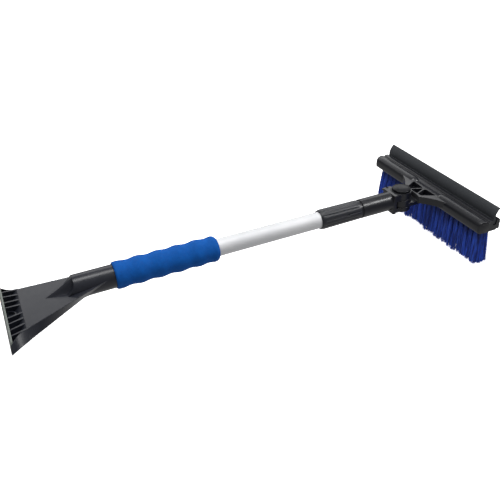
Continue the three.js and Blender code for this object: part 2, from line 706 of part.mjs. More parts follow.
// One row of bristles as a plain block that widens to its tips.
function bristleRow(x) {
  const side = polygon([
    [-BRISTLE_ROOT_HALF, BAR_FOOT_Z - GAP],
    [-BRISTLE_TIP_HALF, TIP_Z],
    [BRISTLE_TIP_HALF, TIP_Z],
    [BRISTLE_ROOT_HALF, BAR_FOOT_Z - GAP],
  ]);
  return alongX(side, x - BRISTLE_THICK / 2, x + BRISTLE_THICK / 2);
}

const pole = new THREE.Group();
pole.position.set(-HEAD_CENTRE_X, 0, -TIP_Z);
pole.add(
  piece('scraper_head', scraperHead(), SCRAPER_PLASTIC),
  piece('scraper_blade', scraperBlade(), BLADE_PLASTIC),
  piece('socket_rivet', rivet(RIVET), STEEL),
  piece('outer_tube', outerTube(), PALE_ALUMINIUM),
  piece('foam_grip', foamGrip(), BLUE_FOAM),
  piece('collet_body', colletBody(), WHITE_NYLON),
  piece('collet_ring', colletRing(), WHITE_NYLON),
  piece('lock_collar', lockCollar(), COLLAR_PLASTIC),
  piece('inner_tube', innerTube(), PALE_ALUMINIUM),
  piece('guide_plug', guidePlug(), WHITE_NYLON),
  piece('neck_rivet', rivet(NECK_RIVET), STEEL),
  piece('pivot_yoke', pivotYoke(), BLACK_PLASTIC),
  piece('pivot_screw', pivotScrew(), STEEL),
  piece('pivot_nut', pivotNut(), STEEL),
  piece('push_button', pushButton(), BLACK_PLASTIC),
  piece('lock_gear', lockGear(), BLACK_PLASTIC),
  piece('button_spring', buttonSpring(), STEEL),
  piece('head_body', headBody(), BLACK_PLASTIC),
  piece('squeegee_rail', squeegeeRail(), BLACK_PLASTIC),
  piece('squeegee_blade', squeegeeBlade(), BLACK_RUBBER),
);
for (let row = 1; row <= BRISTLE_ROW_COUNT; row += 1) {
  const x = HEAD_CENTRE_X + (row - (BRISTLE_ROW_COUNT + 1) / 2) * BRISTLE_PITCH;
  pole.add(piece(`bristle_row_${row}`, bristleRow(x), BLUE_BRISTLE));
}

const brush = new THREE.Group();
brush.add(pole);

export default brush;
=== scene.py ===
import json
import math
import random

import bmesh
import bpy
from mathutils import Matrix, Vector


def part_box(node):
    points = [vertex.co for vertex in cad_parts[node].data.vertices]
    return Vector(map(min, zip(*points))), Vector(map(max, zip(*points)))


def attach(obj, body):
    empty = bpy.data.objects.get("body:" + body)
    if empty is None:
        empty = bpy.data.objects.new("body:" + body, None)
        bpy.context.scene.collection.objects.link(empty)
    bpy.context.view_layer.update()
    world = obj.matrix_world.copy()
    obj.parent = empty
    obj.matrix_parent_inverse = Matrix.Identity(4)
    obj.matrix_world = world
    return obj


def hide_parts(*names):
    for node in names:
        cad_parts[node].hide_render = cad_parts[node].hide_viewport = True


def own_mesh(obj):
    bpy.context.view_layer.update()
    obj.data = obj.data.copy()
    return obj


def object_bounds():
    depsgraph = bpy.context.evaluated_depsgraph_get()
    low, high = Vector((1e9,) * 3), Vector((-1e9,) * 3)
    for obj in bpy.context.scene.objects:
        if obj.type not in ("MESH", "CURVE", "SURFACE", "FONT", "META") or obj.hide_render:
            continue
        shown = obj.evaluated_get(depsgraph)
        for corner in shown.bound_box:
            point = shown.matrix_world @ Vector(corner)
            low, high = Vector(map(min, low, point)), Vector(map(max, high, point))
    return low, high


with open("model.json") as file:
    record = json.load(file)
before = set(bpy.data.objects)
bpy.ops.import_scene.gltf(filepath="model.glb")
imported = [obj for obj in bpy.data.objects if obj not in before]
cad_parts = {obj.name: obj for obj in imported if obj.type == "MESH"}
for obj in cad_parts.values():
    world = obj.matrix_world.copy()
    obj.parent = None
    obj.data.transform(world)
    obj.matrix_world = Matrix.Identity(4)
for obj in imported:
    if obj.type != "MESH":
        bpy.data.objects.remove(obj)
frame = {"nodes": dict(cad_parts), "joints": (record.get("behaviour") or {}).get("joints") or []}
CAD_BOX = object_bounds()

# Pieces are drawn in millimetres in the pole's own frame: the origin is where the head's pivot
# axis crosses the pole's axis, +X points to the brush head and +Z up.
MM = 0.001
PIVOT = Vector(next(j["pos_m"] for j in frame["joints"] if j["name"] == "head_pivot"))


def at(x, y, z):
    """A point of the pole's frame, in metres in the row frame."""
    return PIVOT + MM * Vector((x, y, z))


def span(node):
    """Lowest and highest corner of a CAD node, in the pole's frame."""
    low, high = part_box(node)
    return (low - PIVOT) / MM, (high - PIVOT) / MM


def mix(a, b, share):
    return a + (b - a) * share


# ---------------------------------------------------------------- driving dimensions

PLATE_X = [-415.0, -443.0, -510.7, -528.0]  # stations of the scraper's fan, from neck to front
PLATE_HALF = [13.6, 21.0, 38.9, 55.0]
PLATE_Z = [5.0, 0.9, -9.0, -11.8]
FOOT_HALF = [8.0, 9.5, 48.0, 58.8]
FOOT_Z = [-8.0, -12.0, -18.9, -20.8]
RIB_TOP_Z = [-9.0, -10.1]
RIB_ROOTS = [7.5, 17.5, 27.6, 38.2]
RIB_TIPS = [9.9, 20.3, 31.8, 41.8]
RIB_THICK = 1.5
RIB_ROOT_THICK = 2.6
RIM_THICK = 1.9
SHELL = 2.6
NECK_R = 14.2
SOCKET_R = 13.2
TUBE_ROOM_R = 11.3
RIB_END_X = -526.9  # the pocket ribs end here, at the blade
BOW_X = -525.1  # centre of the arc of the middle pocket's bow
# last section of the tray's side rims, against the blade
RIM_END = ((-528.9, 55.8, -12.0), (-528.9, 54.8, -12.0), (-530.0, 57.4, -20.4), (-530.6, 60.4, -21.1))

GROOVE_PITCH = 24.1
GROOVE_DEPTH = 1.35
GROOVES_X = -338.0  # middle of the five finger grooves

FLUTES = 12
FLUTE_DEPTH = 0.7
POINTER_ANGLE = 10  # degrees above the horizontal, on the side of -Y

PIVOT_NECK_R = 12.9
SPIGOT_R = 11.6
NECK_BORE_R = 9.8

KNUCKLE_R = 14.5
KNUCKLE_Z = (-8, 2.2)
WEB_TOP_Z = -2.5
HUB_R = 20.6  # hub's inner wall, in the middle
HUB_END_R = 24.5  # and at its ends
HUB_TOP_Z = 5.0
BAR_HALF = 111.0
BAR_BULGE = 2.5
BOLSTER_X = 46.4
BOLSTER_Z = -0.6
BOLSTER_HALF = 8.5
BOLSTER_RISE = 8.1
BOLSTER_DROP = 8.9
BOLSTER_START = 21.5
BOLSTER_NOSE = 11.0  # length of the bolster's round end
BAR_FOOT_Z = -9.5

TUFT_PITCH = 8.9
TUFT_R = 2.3
FILAMENTS = 64
FILAMENT_R = 0.3
SHORT_Y = (-9, 36)  # stretch of the brush whose tips are cut shorter
SHORT_TIPS = 3.2

# ---------------------------------------------------------------- mesh tools


def add_mesh(name, points, faces):
    """A new object from points in the pole's frame, with merged seams and outward faces."""
    mesh = bpy.data.meshes.new(name)
    mesh.from_pydata([at(*p) for p in points], [], faces)
    body = bmesh.new()
    body.from_mesh(mesh)
    bmesh.ops.remove_doubles(body, verts=body.verts, dist=0.002 * MM)
    bmesh.ops.recalc_face_normals(body, faces=body.faces)
    body.to_mesh(mesh)
    body.free()
    obj = bpy.data.objects.new(name, mesh)
    bpy.context.scene.collection.objects.link(obj)
    return obj


def skin(name, rings, loop=False):
    """Joins rings of equal length with quads. A loop closes on itself, otherwise both ends are capped."""
    count = len(rings[0])
    points = [p for ring in rings for p in ring]
    faces = []
    for r in range(len(rings) if loop else len(rings) - 1):
        a = r * count
        b = ((r + 1) % len(rings)) * count
        for k in range(count):
            n = (k + 1) % count
            faces.append((a + k, a + n, b + n, b + k))
    if not loop:
        faces.append(tuple(range(count)))
        faces.append(tuple(range(len(points) - count, len(points))))
    return add_mesh(name, points, faces)


def rounded(corners, radius, closed=True, steps=5):
    """Rounds an outline's corners. A corner may carry its own radius as a third value."""
    count = len(corners)
    result = []
    for k, corner in enumerate(corners):
        here = Vector(corner[:2])
        if not closed and k in (0, count - 1):
            result.append(here)
            continue
        before = Vector(corners[k - 1][:2]) - here
        after = Vector(corners[(k + 1) % count][:2]) - here
        size = corner[2] if len(corner) > 2 else radius
        cut = min(size, 0.48 * before.length, 0.48 * after.length)
        start = here + before.normalized() * cut
        end = here + after.normalized() * cut
        for s in range(steps + 1):
            t = s / steps
            result.append(start * (1 - t) ** 2 + here * 2 * t * (1 - t) + end * t * t)
    return [tuple(p) for p in result]


def turned_x(name, profile, sides=96, loop=False, depth=None):
    """Turns (x, radius) points about the pole's axis. depth(x, angle) is taken off the radius."""
    rings = []
    for x, r in profile:
        ring = []
        for k in range(sides):
            a = 2 * math.pi * k / sides
            here = r - (depth(x, a) if depth else 0)
            ring.append((x, here * math.cos(a), here * math.sin(a)))
        rings.append(ring)
    return skin(name, rings, loop)


def turned_z(name, profile, x=0, y=0, sides=96):
    """Turns (radius, z) points about an upright axis."""
    rings = []
    for r, z in profile:
        angles = [2 * math.pi * k / sides for k in range(sides)]
        rings.append([(x + r * math.cos(a), y + r * math.sin(a), z) for a in angles])
    return skin(name, rings)


def along_y(name, outline, y0, y1):
    return skin(name, [[(x, y, z) for x, z in outline] for y in (y0, y1)])


def along_z(name, outline, z0, z1):
    return skin(name, [[(x, y, z) for x, y in outline] for z in (z0, z1)])


def block(name, x, y, z):
    corners = [(x[0], y[0]), (x[1], y[0]), (x[1], y[1]), (x[0], y[1])]
    return along_z(name, corners, *z)


def rod_x(name, r, x0, x1, sides=96):
    return turned_x(name, [(x0, r), (x1, r)], sides)


def rod_z(name, r, z0, z1, x=0, y=0, sides=64):
    return turned_z(name, [(r, z0), (r, z1)], x, y, sides)


def settle(obj):
    """Applies the object's modifiers to its mesh."""
    graph = bpy.context.evaluated_depsgraph_get()
    mesh = bpy.data.meshes.new_from_object(obj.evaluated_get(graph))
    obj.modifiers.clear()
    obj.data = mesh
    return obj


def carve(base, *cutters):
    """Cuts the cutters out of the base and removes them."""
    for cutter in cutters:
        cut = base.modifiers.new("cut", "BOOLEAN")
        cut.operation = "DIFFERENCE"
        cut.solver = "EXACT"
        cut.object = cutter
    settle(base)
    for cutter in cutters:
        bpy.data.objects.remove(cutter)
    return base


def gather(name, parts):
    """One object that holds the meshes of all the parts, which may overlap."""
    body = bmesh.new()
    for part in parts:
        body.from_mesh(part.data)
        bpy.data.objects.remove(part)
    mesh = bpy.data.meshes.new(name)
    body.to_mesh(mesh)
    body.free()
    obj = bpy.data.objects.new(name, mesh)
    bpy.context.scene.collection.objects.link(obj)
    return obj


def mould(obj, voxel, rounds):
    """Fuses overlapping shells into one skin and rounds its edges, as a moulding's are."""
    remesh = obj.modifiers.new("fuse", "REMESH")
    remesh.mode = "VOXEL"
    remesh.voxel_size = voxel * MM
    soften = obj.modifiers.new("soften", "SMOOTH")
    soften.factor = 0.5
    soften.iterations = rounds
    return shade(settle(obj))


def round_edges(obj, width, segments=3, angle=35):
    bevel = obj.modifiers.new("round", "BEVEL")
    bevel.width = width * MM
    bevel.segments = segments
    bevel.limit_method = "ANGLE"
    bevel.angle_limit = math.radians(angle)
    return shade(settle(obj), angle)


def shade(obj, angle=None):
    obj.data.shade_smooth()
    if angle is not None:
        obj.data.set_sharp_from_angle(angle=math.radians(angle))
    return obj


def place(obj, material, body, slot, *nodes):
    """Gives a finished piece its material and body and hides the CAD nodes that it stands for. The slot is
    not used.
    """
    obj.data.materials.clear()
    obj.data.materials.append(material)
    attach(obj, body)
    if nodes:
        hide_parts(*nodes)
    return obj


# ---------------------------------------------------------------- material tools


class Nodes:
    """A material's node tree with short ways to add what the finishes share."""

    def __init__(self, name):
        self.material = bpy.data.materials.new(name)
        self.material.use_nodes = True
        self.tree = self.material.node_tree
        self.shader = self.tree.nodes["Principled BSDF"]
        coords = self.tree.nodes.new("ShaderNodeTexCoord")
        self.place = coords.outputs["Object"]

    def link(self, source, target):
        self.tree.links.new(source, target)

    def stretch(self, x, y, z):
        node = self.tree.nodes.new("ShaderNodeMapping")
        node.inputs["Scale"].default_value = (x, y, z)
        self.link(self.place, node.inputs["Vector"])
        return node.outputs["Vector"]

    def noise(self, scale, detail=3, rough=0.55, where=None):
        node = self.tree.nodes.new("ShaderNodeTexNoise")
        node.inputs["Scale"].default_value = scale
        node.inputs["Detail"].default_value = detail
        node.inputs["Roughness"].default_value = rough
        self.link(where or self.place, node.inputs["Vector"])
        return node.outputs["Fac"]

    def cells(self, scale):
        node = self.tree.nodes.new("ShaderNodeTexVoronoi")
        node.inputs["Scale"].default_value = scale
        self.link(self.place, node.inputs["Vector"])
        return node.outputs["Distance"]

    def ramp(self, value, *stops):
        node = self.tree.nodes.new("ShaderNodeValToRGB")
        items = node.color_ramp.elements
        while len(items) < len(stops):
            items.new(0.5)
        for item, (where, color) in zip(items, stops):
            item.position = where
            item.color = (*color, 1)
        self.link(value, node.inputs["Fac"])
        return node.outputs["Color"]

    def scale(self, value, low, high, start=0.3, end=0.7):
        node = self.tree.nodes.new("ShaderNodeMapRange")
        node.inputs["From Min"].default_value = start
        node.inputs["From Max"].default_value = end
        node.inputs["To Min"].default_value = low
        node.inputs["To Max"].default_value = high
        self.link(value, node.inputs["Value"])
        return node.outputs["Result"]

    def bump(self, height, depth_mm, strength=1.0, under=None):
        node = self.tree.nodes.new("ShaderNodeBump")
        node.inputs["Distance"].default_value = depth_mm * MM
        node.inputs["Strength"].default_value = strength
        self.link(height, node.inputs["Height"])
        if under:
            self.link(under, node.inputs["Normal"])
        self.link(node.outputs["Normal"], self.shader.inputs["Normal"])
        return node.outputs["Normal"]


def moulded_plastic(name, dark, light, rough, specular=0.5):
    """Satin moulded plastic: cloudy colour, uneven gloss, a fine spark-eroded grain and flow marks."""
    n = Nodes(name)
    cloud = n.noise(38, 4, 0.6)
    n.link(n.ramp(cloud, (0.3, dark), (0.7, light)), n.shader.inputs["Base Color"])
    patches = n.noise(160, 3, 0.6)
    n.link(n.scale(patches, rough[0], rough[1]), n.shader.inputs["Roughness"])
    n.shader.inputs["Specular IOR Level"].default_value = specular
    grain = n.bump(n.noise(2600, 2, 0.5), 0.006, 0.6)
    n.bump(n.noise(90, 2, 0.5), 0.03, 0.4, under=grain)
    return n.material


def satin_aluminium(name):
    """Anodised tube: fine lines drawn along the pole and faint cloudy oxide."""
    n = Nodes(name)
    lines = n.noise(1, 3, 0.6, n.stretch(14, 900, 900))
    cloud = n.noise(26, 3, 0.5)
    greys = n.ramp(cloud, (0.3, (0.72, 0.73, 0.75)), (0.7, (0.79, 0.795, 0.81)))
    n.link(greys, n.shader.inputs["Base Color"])
    n.link(n.scale(lines, 0.46, 0.58), n.shader.inputs["Roughness"])
    n.shader.inputs["Metallic"].default_value = 0.2
    n.bump(lines, 0.01, 0.35)
    return n.material


def foam_rubber(name):
    """Closed-cell foam: tiny open pores, soft mottling and no gloss."""
    n = Nodes(name)
    mottle = n.noise(120, 5, 0.65)
    blues = n.ramp(mottle, (0.3, (0.0012, 0.082, 0.36)), (0.7, (0.002, 0.106, 0.45)))
    n.link(blues, n.shader.inputs["Base Color"])
    n.link(n.scale(n.noise(400), 0.72, 0.9), n.shader.inputs["Roughness"])
    n.shader.inputs["Specular IOR Level"].default_value = 0.22
    pores = n.bump(n.cells(1500), 0.16, 0.5)
    n.bump(n.noise(260, 3, 0.6), 0.22, 0.5, under=pores)
    return n.material


def matte_rubber(name):
    """Squeegee rubber: nearly black, with fine lines drawn along its length."""
    n = Nodes(name)
    cloud = n.noise(30, 4, 0.6)
    blacks = n.ramp(cloud, (0.3, (0.038, 0.042, 0.048)), (0.7, (0.05, 0.055, 0.062)))
    n.link(blacks, n.shader.inputs["Base Color"])
    n.link(n.scale(n.noise(220), 0.5, 0.66), n.shader.inputs["Roughness"])
    n.shader.inputs["Specular IOR Level"].default_value = 0.4
    n.bump(n.noise(1, 3, 0.6, n.stretch(900, 12, 900)), 0.03, 0.5)
    return n.material


def bristle_filament(name):
    """Dyed filaments: streaks of lighter and darker blue down the tufts, and painted shade darkening them
    towards the roots.
    """
    n = Nodes(name)
    streaks = n.noise(1, 3, 0.6, n.stretch(420, 420, 16))
    blues = n.ramp(
        streaks,
        (0.38, (0.015, 0.034, 0.26)),
        (0.5, (0.034, 0.098, 0.58)),
        (0.64, (0.062, 0.18, 0.95)),
    )
    height = n.tree.nodes.new("ShaderNodeSeparateXYZ")
    n.link(n.place, height.inputs["Vector"])
    # Painted shade: the blue is scaled down to 0.3 of itself over the last 16 mm up to the roots.
    root = at(0, 0, BAR_FOOT_Z).z
    shadow = n.scale(height.outputs["Z"], 1.0, 0.3, root - 0.016, root)
    shaded = n.tree.nodes.new("ShaderNodeVectorMath")
    shaded.operation = "SCALE"
    n.link(blues, shaded.inputs[0])
    n.link(shadow, shaded.inputs["Scale"])
    n.link(shaded.outputs["Vector"], n.shader.inputs["Base Color"])
    n.link(n.scale(streaks, 0.4, 0.6), n.shader.inputs["Roughness"])
    n.shader.inputs["Specular IOR Level"].default_value = 0.35
    n.bump(n.noise(1, 2, 0.5, n.stretch(3000, 3000, 60)), 0.02, 0.4)
    return n.material


def plated_steel(name):
    """Zinc-plated steel with faint cloudy blooms."""
    n = Nodes(name)
    cloud = n.noise(300, 4, 0.6)
    n.link(n.ramp(cloud, (0.3, (0.5, 0.5, 0.51)), (0.7, (0.66, 0.66, 0.66))), n.shader.inputs["Base Color"])
    n.link(n.scale(n.noise(700), 0.26, 0.42), n.shader.inputs["Roughness"])
    n.shader.inputs["Metallic"].default_value = 1.0
    n.bump(n.noise(1500, 2, 0.5), 0.01, 0.5)
    return n.material


def natural_nylon(name):
    """Unpigmented nylon, faintly yellow and slightly translucent."""
    n = Nodes(name)
    cloud = n.noise(60, 4, 0.6)
    n.link(n.ramp(cloud, (0.3, (0.66, 0.64, 0.57)), (0.7, (0.76, 0.74, 0.68))), n.shader.inputs["Base Color"])
    n.link(n.scale(n.noise(200), 0.4, 0.55), n.shader.inputs["Roughness"])
    n.shader.inputs["Subsurface Weight"].default_value = 0.1
    n.bump(n.noise(1200, 2, 0.5), 0.02, 0.5)
    return n.material


CHARCOAL = moulded_plastic(
    "charcoal_plastic", (0.0125, 0.0145, 0.022), (0.0175, 0.0195, 0.028), (0.29, 0.34), 0.52
)
BLACK = moulded_plastic("black_plastic", (0.009, 0.0098, 0.0135), (0.013, 0.014, 0.0185), (0.28, 0.33), 0.5)
COLLAR_GREY = moulded_plastic(
    "collar_plastic", (0.0165, 0.018, 0.0235), (0.022, 0.0242, 0.031), (0.32, 0.38), 0.52
)
BLADE_GREY = moulded_plastic("blade_plastic", (0.15, 0.168, 0.153), (0.195, 0.216, 0.198), (0.4, 0.52))
BUTTON_BLACK = moulded_plastic(
    "button_plastic", (0.007, 0.0076, 0.01), (0.0095, 0.0103, 0.0135), (0.3, 0.38), 0.22
)
ALUMINIUM = satin_aluminium("satin_aluminium")
FOAM = foam_rubber("blue_foam")
RUBBER = matte_rubber("squeegee_rubber")
BRISTLE = bristle_filament("blue_bristle")
STEEL = plated_steel("plated_steel")
NYLON = natural_nylon("natural_nylon")

# ---------------------------------------------------------------- scraper


def station(x, values):
    """A fan dimension at x. Ahead of the plate's end the side walls flare out on a curve."""
    for k in range(2):
        if x >= PLATE_X[k + 1]:
            share = (x - PLATE_X[k]) / (PLATE_X[k + 1] - PLATE_X[k])
            return mix(values[k], values[k + 1], share)
    share = (x - PLATE_X[2]) / (PLATE_X[3] - PLATE_X[2])
    slope = (values[2] - values[1]) / (PLATE_X[2] - PLATE_X[1]) * (PLATE_X[3] - PLATE_X[2])
    return values[2] + slope * share + (values[3] - values[2] - slope) * share**2


def plate_z(x):
    return station(x, PLATE_Z)


def fan_ring(x, inset=0.0, below=0.0):
    """Four-cornered section of the fan, an inset in from the outside and opened below its foot."""
    half, top = station(x, PLATE_HALF), plate_z(x)
    foot_half, foot = station(x, FOOT_HALF), station(x, FOOT_Z)
    lean = (half - foot_half) / (top - foot)
    half -= inset
    foot_half -= inset + below * lean
    return [
        (x, half, top - inset),
        (x, -half, top - inset),
        (x, -foot_half, foot - below),
        (x, foot_half, foot - below),
    ]


def plate_shell():
    """Top plate and side walls, hollow underneath, with stiffening ribs."""
    xs = [mix(PLATE_X[0], PLATE_X[1], k / 12) for k in range(12)]
    xs += [mix(PLATE_X[1], PLATE_X[2], k / 32) for k in range(33)]
    shell = skin("plate_shell", [fan_ring(x) for x in xs])
    start = mix(PLATE_X[1], PLATE_X[2], 0.34)
    inside = [mix(start, PLATE_X[2] + SHELL, k / 20) for k in range(21)]
    hollow = skin("hollow", [fan_ring(x, SHELL, 8) for x in inside])
    carve(shell, hollow)
    ribs = []
    for y in (-22, -7.5, 7.5, 22):
        x = (PLATE_X[2] + 1, start + 1 - 0.6 * abs(y))
        top = [plate_z(x[0]) - 1, plate_z(x[1]) - 1]
        half = RIB_THICK / 2
        rings = []
        for k in range(2):
            foot = station(x[k], FOOT_Z) + 1.5
            corners = ((y - half, top[k]), (y + half, top[k]), (y + half, foot), (y - half, foot))
            rings.append([(x[k], *corner) for corner in corners])
        ribs.append(skin("under_rib", rings))
    return [shell, *ribs]


def front_tray():
    """Floor and curved side rims of the open pockets behind the blade."""
    parts = []
    floor = []
    xs = [mix(PLATE_X[2] + 0.6, PLATE_X[3] - 0.3, k / 24) for k in range(25)]
    for x in xs:
        foot_half, foot = station(x, FOOT_HALF), station(x, FOOT_Z)
        lean = (foot_half - station(x, PLATE_HALF)) / (plate_z(x) - foot)
        half = foot_half - 3 * lean - 0.4
        floor.append([(x, half, foot + 3), (x, -half, foot + 3), (x, -foot_half, foot), (x, foot_half, foot)])
    parts.append(skin("tray_floor", floor))
    slope = []
    for x, top in ((PLATE_X[2] + 2, PLATE_Z[2]), (PLATE_X[2] - 1, PLATE_Z[2] - 0.6), (PLATE_X[2] - 8, -17)):
        half = station(x, PLATE_HALF) - 0.3
        slope.append([(x, half, top), (x, -half, top), (x, -half, -18.5), (x, half, -18.5)])
    parts.append(skin("pocket_slope", slope))
    for side in (-1, 1):
        rim = []
        for x in xs:
            half, top = station(x, PLATE_HALF), plate_z(x)
            foot_half, foot = station(x, FOOT_HALF), station(x, FOOT_Z)
            rim.append(
                [
                    (x, side * half, top),
                    (x, side * (half - 0.6 * RIM_THICK), top),
                    (x, side * (foot_half - 1.3 * RIM_THICK), foot + 1),
                    (x, side * foot_half, foot),
                ]
            )
        rim.append([(x, side * y, z) for x, y, z in RIM_END])
        parts.append(skin("tray_rim", rim))
    return parts


def pocket_ribs():
    """Fanned ribs from the plate to the blade, and the bow in the middle pocket."""
    parts = []
    ends = (PLATE_X[2] + 2, RIB_END_X)
    for side in (-1, 1):
        for root, tip in zip(RIB_ROOTS, RIB_TIPS):
            rings = []
            for x, y, top in ((ends[0], root, RIB_TOP_Z[0]), (ends[1], tip, RIB_TOP_Z[1])):
                half = (RIB_ROOT_THICK if x == ends[0] else RIB_THICK) / 2
                low, high = side * y - half, side * y + half
                rings.append([(x, low, top), (x, high, top), (x, high + 0.2, -18.6), (x, low - 0.2, -18.6)])
            parts.append(skin("pocket_rib", rings))
    bow = []
    for k in range(25):
        a = math.pi * (k / 24 - 0.5)
        ring = []
        for r, z in ((5.4, -13.4), (6.3, -13.4), (6.5, -18.8), (5.2, -18.8)):
            ring.append((BOW_X + 1.35 * r * math.cos(a), r * math.sin(a), z))
        bow.append(ring)
    parts.append(skin("bow_rib", bow))
    return parts


def round_neck():
    """Round neck and socket. The neck's free end is cut on a slanting curve."""
    neck = turned_x("neck", [(-466, NECK_R), (-404.8, NECK_R)], 128)
    curve = [(-480, 24), (-450.8, 24)]
    for k in range(13):
        t = k / 12
        points = (Vector((-450.8, 14.6)), Vector((-450.8, 3.0)), Vector((-464.0, -4.0)))
        curve.append(tuple(points[0] * (1 - t) ** 2 + points[1] * 2 * t * (1 - t) + points[2] * t * t))
    curve += [(-464.0, -24), (-480, -24)]
    carve(neck, along_y("neck_cut", curve, -20, 20))
    round_edges(neck, 0.45)
    socket = rod_x("socket", SOCKET_R, -410, -350)
    return [neck, socket]


def neck_ramp():
    """Ramp from the neck's end down to a point on the plate, with a soft crest and curved flanks."""
    neck_end, tip = -450.9, -486.5
    rings = []
    for step in range(25):
        share = step / 24
        x = mix(neck_end, tip, share)
        size = max(0.01, 1 - share)
        base = plate_z(x) - 0.7
        height = (13.6 - plate_z(neck_end)) * size**1.2
        ring = []
        for k in range(41):
            across = k / 20 - 1
            rise = (0.5 + 0.5 * math.cos(math.pi * across)) ** mix(1.6, 1.3, share)
            ring.append((x, 13.9 * size**0.8 * across, base + height * rise))
        rings.append(ring)
    return skin("neck_ramp", rings)


def scraper_moulding():
    fan = mould(gather("fan", plate_shell()), 0.38, 4)
    parts = [carve(part, rod_x("bore", TUBE_ROOM_R, -443, -349, 128)) for part in (fan, *round_neck())]
    moulding = gather("scraper_moulding", [*parts, neck_ramp(), *front_tray(), *pocket_ribs()])
    return place(shade(moulding, 40), CHARCOAL, "handle", "scraper_plastic", "scraper_head")


def scraper_edge():
    """Pale blade strip. Its ends are cut to the slope of the side walls."""
    low, high = span("scraper_blade")
    edge_x = low.x
    section = rounded(
        [
            (edge_x + 2.2, high.z, 0.3),
            (edge_x, low.z, 0.25),
            (edge_x + 1.1, low.z + 0.1, 0.25),
            (edge_x + 3.6, -19.4, 0.6),
            (edge_x + 4.2, high.z, 0.3),
        ],
        0.4,
    )
    rings = []
    for k in range(41):
        share = k / 20 - 1
        ring = []
        for x, z in section:
            climb = max(0, (z - low.z) / (high.z - low.z))
            half = high.y - 1.2 - 2.8 * climb - 8 * max(0, climb - 0.8) - 0.55 * (x - edge_x)
            ring.append((x, share * half, z))
        rings.append(ring)
    strip = shade(skin("scraper_edge", rings), 35)
    return place(strip, BLADE_GREY, "handle", "blade_plastic", "scraper_blade")


# ---------------------------------------------------------------- pole


def grip_radius(x, high):
    """Finger grooves between round ends."""
    wave = 0.5 + 0.5 * math.cos(2 * math.pi * (x - GROOVES_X) / GROOVE_PITCH)
    inside = abs(x - GROOVES_X) < 2.5 * GROOVE_PITCH
    return high.z - (GROOVE_DEPTH * wave if inside else 0)


def end_rounding(x, low, high):
    """How far the grip's ends are rounded off at x: tightly at the scraper, softly at the tube."""
    result = 0
    for distance, radius in ((x - low.x, 3.2), (high.x - x, 8.0)):
        over = max(0, radius - distance)
        result += radius - math.sqrt(max(0, radius**2 - over**2))
    return result


def foam_sleeve():
    low, high = span("foam_grip")
    profile = []
    steps = 150
    for k in range(steps + 1):
        x = mix(low.x, high.x, 0.5 - 0.5 * math.cos(math.pi * k / steps))
        profile.append((x, grip_radius(x, high) - 0.62 * end_rounding(x, low, high)))
    profile += [(high.x - 0.2, 12.0), (high.x - 1, 11.3), (-349.7, 11.3), (-349.7, 13.5), (low.x + 0.6, 13.5)]
    wobble = random.Random(5)
    waves = [(wobble.uniform(0.02, 0.06), wobble.randint(1, 4), wobble.uniform(0, 6)) for _ in range(4)]

    def uneven(x, a):
        return sum(w * math.sin(k * a + p + x / 17 * k) for w, k, p in waves)

    sleeve = shade(turned_x("foam_sleeve", profile, 128, loop=True, depth=uneven), 50)
    place(sleeve, FOAM, "handle", "grip_foam", "foam_grip")
    return sleeve


def pole_tube(name, node, body):
    """Tube with a wall and softly broken end edges."""
    low, high = span(node)
    outer = high.z
    inner = outer - 1.2
    edge = 0.35
    profile = [
        (low.x, inner + edge),
        (low.x, outer - edge),
        (low.x + edge, outer),
        (high.x - edge, outer),
        (high.x, outer - edge),
        (high.x, inner + edge),
        (high.x - edge, inner),
        (low.x + edge, inner),
    ]
    tube = shade(turned_x(name, profile, 128, loop=True), 30)
    return place(tube, ALUMINIUM, body, "tube_aluminium", node)


def collar_pointer(end):
    """Small raised arrow on the collar that points along the pole to the scraper."""
    outline = [(-93, 0), (-89.5, 1.7), (end - 0.8, 1.7), (end - 0.8, -1.7), (-89.5, -1.7)]
    turn = math.radians(POINTER_ANGLE)
    rings = []
    for r, grow in ((12.3, 1.0), (13.9, 1.0), (14.2, 0.85)):
        ring = []
        for x, s in outline:
            a = turn + s * grow / r
            ring.append((mix(-84, x, grow**0.25), -r * math.cos(a), r * math.sin(a)))
        rings.append(ring)
    return skin("pointer", rings)


def collar_shell():
    """Twist-lock collar with shallow flutes and a raised pointer."""
    low, high = span("lock_collar")
    start, end = low.x, high.x
    profile = [(start, 11.9), (start + 0.8, 12.5), (start + 2.4, 13.1), (start + 4.5, 13.4)]
    profile += [(mix(start + 5, end - 1.0, k / 24), mix(13.4, 12.95, k / 24)) for k in range(25)]
    profile += [(end - 0.3, 12.85), (end, 12.5), (end, 11.9)]
    profile += [(-75.2, 11.9), (-75.2, 10.1), (-79, 10.1), (-84, 12.0)]
    profile += [(start + 5, 12.0), (start + 5, 11.3), (start, 11.3)]

    def flute(x, a):
        fade = min(1, max(0, (x - start - 1) / 6)) * min(1, max(0, (end - 2 - x) / 5))
        return fade * FLUTE_DEPTH * abs(math.sin(FLUTES * a / 2)) ** 8

    shell = turned_x("collar_shell", profile, 288, loop=True, depth=flute)
    shell = gather("collar_shell", [shell, collar_pointer(end)])
    return place(shade(shell, 40), COLLAR_GREY, "collar", "collar_plastic", "lock_collar")


# ---------------------------------------------------------------- pivot


def copy_of(node, name):
    """A new object with a copy of a CAD node's mesh, to be reworked."""
    obj = bpy.data.objects.new(name, frame["nodes"][node].data.copy())
    bpy.context.scene.collection.objects.link(obj)
    return obj


